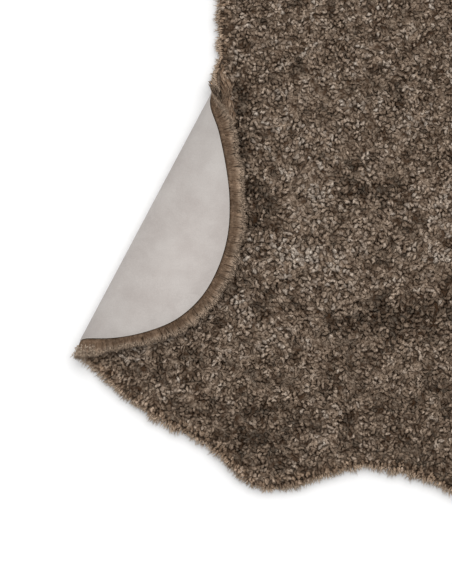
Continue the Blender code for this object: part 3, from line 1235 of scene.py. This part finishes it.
    def curl_heading(
        self, spots: Floats, ways: Floats, upright: Floats, at_rim: Floats, rng: np.random.Generator
    ) -> Floats:
        """Which way each curl lies: any way in the middle, and more and more outwards at the rim.

        Args:
            spots: where the curls grow, in metres of the flat hide.
            ways: the way out of the hide at the point of its edge that is nearest to each.
            upright: the way up out of the wool at each.
            at_rim: how near the rim each is, from 0 to 1.
            rng: where the small differences come from.

        Returns:
            Rows of x, y and z.
        """
        none = np.zeros(len(spots))
        flow = ripple(spots, 46.0 * MM, 11.0) * 6.0 + ripple(spots, 13.0 * MM, 12.0) * 3.2
        flow += rng.normal(0.0, 0.55, len(spots))
        heading = np.column_stack((np.cos(flow), np.sin(flow), none))
        outward = np.column_stack((ways, none))
        held = at_rim[:, None]
        heading = unit(heading * (1.0 - 0.8 * held) + outward * held * 0.9)
        return unit(heading - upright * (heading * upright).sum(axis=1, keepdims=True))

    def curl_tones(
        self,
        spots: Floats,
        out: Floats,
        lift: Floats,
        at_rim: Floats,
        spindles: Spindles,
        rng: np.random.Generator,
    ) -> Floats:
        """Colours of the curls: dark at the roots, painted shade down their sides, a painted highlight along
        their crests, and painted light where they are lifted.

        Args:
            spots: where the curls grow, in metres of the flat hide.
            out: how far outside the hide's edge each one is.
            lift: how much higher than the others each one stands.
            at_rim: how near the rim each is, from 0 to 1.
            spindles: what the curls are like.
            rng: where the small differences come from.

        Returns:
            An array of curls, places and red, green and blue.
        """
        finish = self.finish
        uneven = 1.0 - 0.22 * ease((self.rump_from - spots[:, 1]) / self.rump_fade)
        # each curl's own random tone, plus painted light on the curls that stand higher
        curl_shade = rng.normal(0.0, 0.18, len(spots)) + lift / (7.0 * MM)
        shade = np.clip(self.shade(spots) + curl_shade * uneven, 0.3, 1.9)
        # painted highlight along the middle of each curl's back, painted shade down its sides and towards
        # its ends
        crest = (0.35 + 0.65 * np.sin(math.pi * spindles.shares())) * (0.5 + 0.5 * spindles.facing())
        root, body, rim, tip = (
            np.array(colour) for colour in (finish.root, finish.body, finish.rim_body, finish.crest)
        )
        # the curls at the rim are a little warmer and paler: painted light there
        warm = at_rim[:, None]
        body_here = body[None] * (1.0 - warm) + rim[None] * warm
        tone = body_here[:, None] * crest[None, :, None] + root[None, None] * (1.0 - crest)[None, :, None]
        # where the wool is painted lighter, the crests go over towards the pale crest colour: painted
        # highlight
        bright = np.clip(shade - 1.0, 0.0, 1.0)[:, None, None] * crest[None, :, None]
        tone = tone * np.minimum(shade, 1.2)[:, None, None] + (tip - body)[None, None] * bright
        # painted light on the curls at and past the hide's edge
        paler = 1.0 + 0.2 * ease((out + 3.0 * MM) / (8.0 * MM))
        return np.clip(tone * paler[:, None, None], 0.008, 1.0)

    def curl_bands(self, spots: Floats, places: Floats, tones: Floats, spindles: Spindles) -> None:
        """Cuts the curls into bands along the back that hold about as many each, and leaves out combed ones.

        Args:
            spots: where the curls grow, in metres of the flat hide.
            places: an array of curls, corners and x, y and height.
            tones: their colours.
            spindles: what the curls are like.
        """
        low = self.pile.loop[:, 1].min() - self.curl_margin
        high = self.pile.loop[:, 1].max() + self.curl_margin
        steps_up = (spots[:, 1] - low) / (high - low) * self.band_steps
        order = np.clip(steps_up.astype(int), 0, self.band_steps - 1)
        count = len(self.band_names)
        cuts = np.quantile(order, np.linspace(0.0, 1.0, count + 1))
        combed = spots[:, 0] < self.combed_to(spots)
        for k, name in enumerate(self.band_names):
            upper = order <= cuts[k + 1] if k == count - 1 else order < cuts[k + 1]
            chosen = (order >= cuts[k]) & upper & ~combed
            self.dress(spindles.piece(f"curls_{name}", places[chosen], tones[chosen], self.skin.fold))

    def mound(self, spots: Floats) -> Floats:
        """How near the full wool beside the flap is: 1 on it, and 0 far from it."""
        away = np.linalg.norm(spots[:, :2] - np.array(self.mound_place), axis=1)
        return np.exp(-((away / self.mound_reach) ** 2))

    def nearest(self, spots: Floats, out: Floats) -> Whole:
        """Finds the point of the edge that is nearest to each spot near the rim.

        Args:
            spots: rows of x and y of the flat hide, in metres.
            out: how far outside the edge each one is.

        Returns:
            The number of the edge's point, and 0 for spots far inside.
        """
        found = np.zeros(len(spots), dtype=int)
        near = np.flatnonzero(out > -16.0 * MM)
        loop = self.pile.loop
        for part in np.array_split(near, max(1, len(near) // 2000)):
            gaps = ((spots[part][:, None] - loop[None]) ** 2).sum(axis=2)
            found[part] = gaps.argmin(axis=1)
        return found

    def rim(self) -> None:
        """The fringe: finer locks that point out all round the edge, in levels."""
        pile = self.pile
        rng = np.random.default_rng(17)
        dense, ways = self.skin.outline.ring(self.rim_points)
        per_level = int(ring_length(dense) / self.rim_gap)
        levels = []
        slim = Spindles(rings=2)
        colours = (self.finish.rim_body, self.finish.rim_tip)
        share = np.array((0.0, 0.3, 0.7, 1.0))
        for level_mm in self.rim_levels:
            share_round = (np.arange(per_level) + rng.uniform(0.0, 1.0, per_level)) / per_level
            at = (share_round * len(dense)).astype(int) % len(dense)
            at = at[self.skin.fold.turned_over(dense[at]) < 0.5]
            spots, way = dense[at], ways[at]
            count = len(spots)
            height = pile.height(spots)
            level = np.minimum(level_mm * MM * height / pile.free * 1.05, height - 3.0 * MM)
            reach = pile.stands_out(level) - 1.0 * MM
            reach = reach + rng.normal(0.0, 0.9, count) * MM + self.scallops(spots)
            wisp = rng.random(count) < self.wisps
            wispy = np.where(wisp, rng.uniform(1.5, 5.2, count), 0.0) * MM
            reach += wispy + self.corner(spots) * self.corner_out
            lean = rng.normal(0.0, 0.28, count) + ripple(spots, 7.0 * MM, 32.0) * 0.9
            calm = self.calm(spots)
            reach = reach * (1.0 - 0.45 * calm)
            lean = lean * (1.0 - 0.75 * calm) - 0.6 * calm
            start = rng.uniform(0.5, 3.0, count) * MM
            tilt = (level / (15.0 * MM) - 0.25) * 0.55 + rng.normal(0.0, 0.16, count)
            outward, along_edge, upright = edge_ways(way)
            heading = unit(outward + along_edge * lean[:, None] + upright * tilt[:, None])
            curl = rng.normal(0.0, 1.0, count) * MM
            ahead = (reach - start)[:, None] * share[None]
            aside = curl[:, None] * np.sin(math.pi * share)[None]
            droop = -(share**2)[None] * (1.0 * MM)
            origin = np.column_stack((spots + way * start[:, None], level))
            paths = paths_from(origin, (heading, ahead), (along_edge, aside), (upright, droop))
            paths[..., 2] = np.maximum(paths[..., 2], 0.9 * MM)
            width = rng.uniform(0.4, 0.8, count) * (1.0 + 0.8 * calm) * np.where(wisp, 0.6, 1.0) * MM
            widths = width[:, None] * np.array((1.0, 0.8))[None]
            # random tone of each lock, plus painted light on the higher levels and on the smoothly combed
            # locks where the fold dies out
            light = 1.04 + 0.16 * level / (13.0 * MM) + 0.06 * calm
            tones = self.rim_tone(spots, rng, light, 0.65 + 0.25 * calm, colours, slim)
            levels.append((paths, widths, upright, tones))
        self.finish_rim("rim_locks", levels, slim, 0.75)

    def fuzz(self) -> None:
        """Single fine hairs that stand out past the locks of the rim."""
        rng = np.random.default_rng(37)
        dense, ways = self.skin.outline.ring(self.rim_points)
        at = rng.integers(0, len(dense), int(ring_length(dense) / self.fuzz_gap))
        at = at[self.skin.fold.turned_over(dense[at]) < 0.5]
        spots, way = dense[at], ways[at]
        count = len(spots)
        height = rng.uniform(1.2, 12.0, count) * MM
        edge = self.pile.stands_out(height) + self.scallops(spots)
        edge = edge + self.corner(spots) * self.corner_out - 4.0 * MM
        edge = edge * (1.0 - 0.45 * self.calm(spots))
        length = rng.uniform(3.0, 7.5, count) * MM
        outward, along_edge, upright = edge_ways(way)
        lean = rng.normal(0.0, 0.55, count)[:, None]
        tilt = rng.normal(0.0, 0.25, count)[:, None]
        heading = unit(outward + along_edge * lean + upright * tilt)
        origin = np.column_stack((spots + way * edge[:, None], height))
        share = np.array((0.0, 0.35, 1.0))
        paths = paths_from(origin, (heading, length[:, None] * share[None]))
        paths[..., 2] = np.maximum(paths[..., 2], 0.7 * MM)
        widths = rng.uniform(0.16, 0.3, count)[:, None] * MM
        hairs = Spindles(rings=1)
        tint = np.array(self.finish.fuzz)[None, None] * rng.uniform(0.6, 1.15, count)[:, None, None]
        tones = np.broadcast_to(tint, (count, hairs.corners, 3))
        self.finish_rim("rim_fuzz", [(paths, widths, upright, tones)], hairs, 1.0)

    def fringe(self) -> None:
        """Fine hairs past the combed locks of the folded leg, and a tuft at the lower end of the fold."""
        fold = self.skin.fold
        rng = np.random.default_rng(43)
        dense, ways = self.skin.outline.ring(self.flap_points)
        along, past = fold.place(dense)
        over = fold.turned_over(dense)
        hung = np.flatnonzero(over > 0.6)
        bend = past / fold.half_turn
        bent = np.flatnonzero((bend > 0.36) & (bend < 0.9) & (along < fold.length / 2))
        at = np.concatenate((rng.choice(hung, self.fringe_hairs), rng.choice(bent, self.tuft_hairs)))
        tuft = np.arange(len(at)) >= self.fringe_hairs
        count = len(at)
        spots, way = dense[at], ways[at]
        full = self.hang(spots, over[at])
        reach = np.where(tuft, rng.uniform(5.0, 16.0, count) * MM, full - rng.uniform(2.2, 5.0, count) * MM)
        length = np.where(tuft, rng.uniform(2.5, 4.5, count), rng.uniform(2.6, 5.0, count)) * MM
        height = np.where(tuft, rng.uniform(-1.2, 7.0, count), rng.uniform(-0.2, 3.0, count)) * MM
        outward, along_edge, upright = edge_ways(way)
        lean = rng.normal(0.0, 1.0, count) * np.where(tuft, 0.5, 0.22)
        tilt = np.where(tuft, rng.normal(-0.15, 0.35, count), rng.normal(0.12, 0.1, count))
        heading = unit(outward + along_edge * lean[:, None] + upright * tilt[:, None])
        origin = np.column_stack((spots + way * reach[:, None], height))
        share = np.array((0.0, 0.35, 1.0))
        paths = paths_from(origin, (heading, length[:, None] * share[None]))
        widths = (rng.uniform(0.25, 0.5, count) * np.where(tuft, 1.0, 1.4))[:, None] * MM
        hairs = Spindles(rings=1)
        pale = np.where(tuft[:, None], np.array(self.finish.rim_tip), np.array(self.finish.flap_tip) * 1.05)
        tones = pale[:, None] * rng.uniform(0.62, 1.05, count)[:, None, None]
        tones = np.broadcast_to(tones, (count, hairs.corners, 3))
        self.finish_rim("flap_fringe", [(paths, widths, -upright, tones)], hairs, 1.0)

    def hang(self, spots: Floats, over: Floats) -> Floats:
        """How far the combed wool hangs past the cut edge of the folded leg.

        Args:
            spots: places along the cut edge, in metres of the flat hide.
            over: how far the hide is turned over there, from 0 to 1.

        Returns:
            One length for each spot, in metres.
        """
        along, _ = self.skin.fold.place(spots)
        places, shorter = np.array(BAND_SHORT).T * MM
        full = self.bend_hang + self.flap_hang * over + self.corner(spots) * self.corner_hang
        full -= np.interp(along, places, shorter) * over
        full += ripple(spots, 6.0 * MM, 52.0) * self.flap_tufts
        return full * (1.0 - 0.15 * self.calm(spots))

    def scallops(self, spots: Floats) -> Floats:
        """How much further the wool stands out in tufts round the rim."""
        return ripple(spots, 17.0 * MM, 31.0) * 5.0 * MM + ripple(spots, 7.0 * MM, 33.0) * 3.2 * MM

    def corner(self, spots: Floats) -> Floats:
        """How near the lower end of the fold is.

        Args:
            spots: rows of x and y of the flat hide, in metres.

        Returns:
            1 for spots where the bend meets the rim, and 0 far from there.
        """
        along, past = self.skin.fold.place(spots)
        away = (past - self.skin.fold.half_turn / 2) / self.corner_reach
        return np.exp(-(away**2)) * (along < self.skin.fold.length / 2)

    def calm(self, spots: Floats) -> Floats:
        """How smoothly the wool is combed: 1 where the fold dies out at the rim, and 0 elsewhere."""
        away = np.linalg.norm(spots[:, :2] - np.array(self.calm_place), axis=1)
        return np.exp(-((away / self.calm_reach) ** 2))

    def rim_tone(
        self,
        spots: Floats,
        rng: np.random.Generator,
        light: Floats,
        dark: Floats,
        colours: tuple[tuple[float, float, float], ...],
        spindles: Spindles,
        root_share: float = 0.45,
    ) -> Floats:
        """Colours of rim locks, darker at the root, partly as painted shade down among the locks, and paler
        at the point.

        Args:
            spots: where the locks grow, in metres of the flat hide.
            rng: where the small differences come from.
            light: how light each lock is, about 1.
            dark: how light the roots are, as a share of the wool's own colour.
            colours: the wool's own colour and that of its points.
            spindles: what the locks are like.
            root_share: how much of a lock's length the dark root takes.

        Returns:
            An array of locks, places and red, green and blue.
        """
        shares = spindles.shares()
        body, tip = (np.array(colour) for colour in colours)
        low = ease(shares / root_share)[None, :, None]
        high = ease((shares - 0.45) / 0.55)[None, :, None]
        deep = np.broadcast_to(dark, len(spots))[:, None, None]
        tone = body[None, None] * (deep + (1.0 - deep) * low)
        tone = tone * (1.0 - high) + tip[None, None] * high
        vary = light + rng.normal(0.0, 0.1, len(spots)) + ripple(spots, 20.0 * MM, 41.0) * 0.4
        return np.clip(tone * np.clip(vary, 0.4, 1.7)[:, None, None], 0.006, 1.0)

    def flap_rim(self) -> None:
        """The combed wool that hangs past the cut edge of the folded leg, in bundles with dark gaps and
        painted shade at the bundles' edges.
        """
        rng = np.random.default_rng(23)
        dense, ways = self.skin.outline.ring(self.flap_points)
        over = self.skin.fold.turned_over(dense)
        chosen = np.flatnonzero(over > 0.2)
        gap = float(np.linalg.norm(dense[1] - dense[0]))
        run = len(chosen) * gap
        draw = random.Random(5)
        cuts = [0.0]
        while cuts[-1] < run:
            cuts.append(cuts[-1] + draw.uniform(*self.flap_bundles) * MM)
        edges = np.array(cuts)
        levels = []
        share = np.linspace(0.0, 1.0, 5)
        plain = Spindles()
        finish = self.finish
        for level_mm, longer in self.flap_levels:
            count = int(run / self.flap_gap)
            at = (np.arange(count) + rng.uniform(0.0, 1.0, count)) * self.flap_gap
            at = np.clip(at, 0.0, run - gap)
            number = chosen[(at / gap).astype(int)]
            spots, way = dense[number], ways[number]
            bundle = np.clip(np.searchsorted(edges, at) - 1, 0, len(edges) - 2)
            middle = (edges[bundle] + edges[bundle + 1]) / 2
            half = (edges[bundle + 1] - edges[bundle]) / 2
            across = (at - middle) / half
            full = self.hang(spots, over[number])
            reach = full * longer * (1.0 - 0.1 * np.abs(across) ** 3) + rng.normal(0.0, 0.9, count) * MM
            lean = -across * half / (110.0 * MM) + rng.normal(0.0, 0.1, count)
            outward, along_edge, upright = edge_ways(way)
            heading = unit(outward + along_edge * lean[:, None])
            start = -0.4 * MM
            origin = np.column_stack((spots + way * start, np.full(count, level_mm * MM)))
            ahead = (reach - start)[:, None] * share[None]
            wave = rng.normal(0.0, 0.45, count) * MM
            aside = wave[:, None] * np.sin(2.0 * math.pi * share)[None]
            droop = (share**2.2)[None] * (1.6 * MM) + np.abs(across)[:, None] ** 4 * (0.8 * MM) * share[None]
            paths = paths_from(origin, (heading, ahead), (along_edge, aside), (upright, droop))
            width = rng.uniform(1.3, 2.1, count) * MM
            widths = width[:, None] * np.array((1.0, 1.0, 0.95))[None]
            # painted shade at each bundle's edges and on the levels further from the hide, plus random tone
            light = 1.0 - 0.1 * np.abs(across) ** 12 - 0.012 * level_mm
            light += ripple(spots, 8.0 * MM, 53.0) * 0.35
            colours = (finish.flap_body, finish.flap_inner if longer < 0.6 else finish.flap_tip)
            # dark roots, partly painted shadow under the folded leg's cut edge, and pale tips, partly
            # painted light where they catch it
            tones = self.rim_tone(spots, rng, light, np.full(count, 0.44), colours, plain, 0.7)
            levels.append((paths, widths, -upright, tones))
        self.finish_rim("flap_locks", levels, plain, 0.26)

    def combed_to(self, spots: Floats) -> Floats:
        """Where the combed strip above the fold ends towards the back.

        Args:
            spots: rows of x and y of the flat hide, in metres.

        Returns:
            The x of its end at each spot's y, far out to the left where there is no strip.
        """
        rows = np.array(COMBED_TO).T * MM
        return np.interp(spots[:, 1], *rows, left=-1.0, right=-1.0)

    def turn(self) -> None:
        """The wool combed along the edge where the fold dies out, which joins the flap's band to the rim."""
        pile = self.pile
        rng = np.random.default_rng(53)
        ends = np.array(COMBED_TO) * MM
        low = np.array((self.turn_left, ends[:, 0].min()))
        high = np.array((ends[:, 1].max(), ends[:, 0].max() + 6.0 * MM))
        spots = low + rng.random((self.turn_locks, 2)) * (high - low)
        shaded = spots - np.array((0.0, 5.0 * MM))
        kept = (depth_inside(spots, pile.loop) > -1.5 * MM) & (shaded[:, 0] < self.combed_to(shaded))
        spots = spots[kept]
        count = len(spots)
        length = rng.uniform(8.0, 14.0, count) * MM
        sunk = rng.uniform(0.8, 2.2, count) * MM
        lean = rng.normal(self.turn_lean, 0.14, count)
        heading = unit(np.column_stack((lean, -np.ones(count), np.zeros(count))))
        share = np.array((0.0, 0.3, 0.7, 1.0))
        origin = np.column_stack((spots, np.zeros(count)))
        paths = paths_from(origin, (heading, length[:, None] * share[None]))
        for k in range(len(share)):
            out = -depth_inside(paths[:, k, :2], pile.loop)
            level, _ = pile.profile(out, pile.height(paths[:, k, :2]))
            paths[:, k, 2] = level - sunk
        upright = np.tile(np.array((0.0, 0.0, 1.0)), (count, 1))
        slim = Spindles(rings=2)
        widths = rng.uniform(1.0, 1.7, count)[:, None] * np.array((1.0, 0.9))[None] * MM
        # painted shade on the locks that are sunk deeper into the wool, plus random tone
        light = 1.24 - 0.12 * sunk / MM + ripple(spots, 8.0 * MM, 53.0) * 0.35
        colours = (self.finish.flap_body, self.finish.flap_tip)
        tones = self.rim_tone(spots, rng, light, np.full(count, 0.7), colours, slim)
        self.finish_rim("turn_locks", [(paths, widths, upright, tones)], slim, 0.4)

    def finish_rim(
        self, name: str, levels: list[tuple[Floats, ...]], spindles: Spindles, flat: float
    ) -> None:
        """Joins the levels of a rim into one dressed piece.

        Args:
            name: the piece's name.
            levels: for each level, the paths, the widths, the ways up and the colours.
            spindles: what each lock is like.
            flat: how thick a lock is for its width.
        """
        paths, widths, uprights, tones = (np.concatenate(part) for part in zip(*levels))
        places = spindles.places(paths, widths, uprights, flat)
        self.dress(spindles.piece(name, places, tones, self.skin.fold), self.combed)

    def build(self) -> None:
        """Makes all of the wool."""
        self.ground()
        self.curls()
        self.rim()
        self.fuzz()
        self.flap_rim()
        self.turn()
        self.fringe()


@dataclass(frozen=True)
class Studio:
    """A plain pale floor, soft light from above and a camera that looks straight down."""

    lens: float = 300.0
    view_height: float = 0.584
    look_at: tuple[float, float, float] = (-0.2685, -0.2828, 0.018)
    floor_size: float = 60.0
    floor_colour: tuple[float, float, float] = (0.93, 0.93, 0.93)
    sky: float = 0.62
    sun: float = 1.9
    sun_angle: float = 48.0
    sun_tilt: tuple[float, float, float] = (-18.0, 6.0, 0.0)

    def floor(self) -> None:
        """The pale floor under the rug."""
        half = self.floor_size / 2
        corners = np.array(((-half, -half, 0.0), (half, -half, 0.0), (half, half, 0.0), (-half, half, 0.0)))
        floor = make_piece("floor", corners, np.array(((0, 1, 2), (0, 2, 3))))
        nodes = Nodes("pale_floor", {"Roughness": 0.95, "Specular IOR Level": 0.1})
        nodes.shader.inputs["Base Color"].default_value = (*self.floor_colour, 1.0)
        floor.data.materials.append(nodes.material)

    def lights(self) -> None:
        """Even light from all round, and a broad soft light from above."""
        world = bpy.data.worlds.new("studio")
        world.use_nodes = True
        background = world.node_tree.nodes["Background"]
        background.inputs["Color"].default_value = (1.0, 1.0, 1.0, 1.0)
        background.inputs["Strength"].default_value = self.sky
        bpy.context.scene.world = world
        lamp = bpy.data.lights.new("soft_light", "SUN")
        lamp.energy = self.sun
        lamp.angle = math.radians(self.sun_angle)
        holder = bpy.data.objects.new("soft_light", lamp)
        holder.rotation_euler = tuple(math.radians(a) for a in self.sun_tilt)
        bpy.context.scene.collection.objects.link(holder)

    def camera(self) -> None:
        """The camera over the folded hind leg, as in the photo."""
        data = bpy.data.cameras.new("camera")
        data.lens = self.lens
        data.sensor_width = 36.0
        data.clip_end = 100.0
        camera = bpy.data.objects.new("camera", data)
        away = self.view_height * self.lens / data.sensor_width
        camera.location = (self.look_at[0], self.look_at[1], self.look_at[2] + away)
        camera.rotation_euler = (0.0, 0.0, 0.0)
        bpy.context.scene.collection.objects.link(camera)
        bpy.context.scene.camera = camera

    def build(self) -> None:
        """Sets up the whole studio."""
        self.floor()
        self.lights()
        self.camera()
        bpy.context.scene.view_settings.view_transform = "Standard"


def corners(bounds: tuple[Vector, Vector]) -> list[list[float]]:
    """A box as plain lists of numbers."""
    return [[float(c) for c in corner] for corner in bounds]


def main() -> None:
    """Builds the rug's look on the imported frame."""
    logging.basicConfig(level=logging.INFO, format="%(message)s")
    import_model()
    Studio().build()
    skin = Skin()
    Hide(skin).build()
    Fleece(skin).build()


if __name__ == "__main__":
    main()
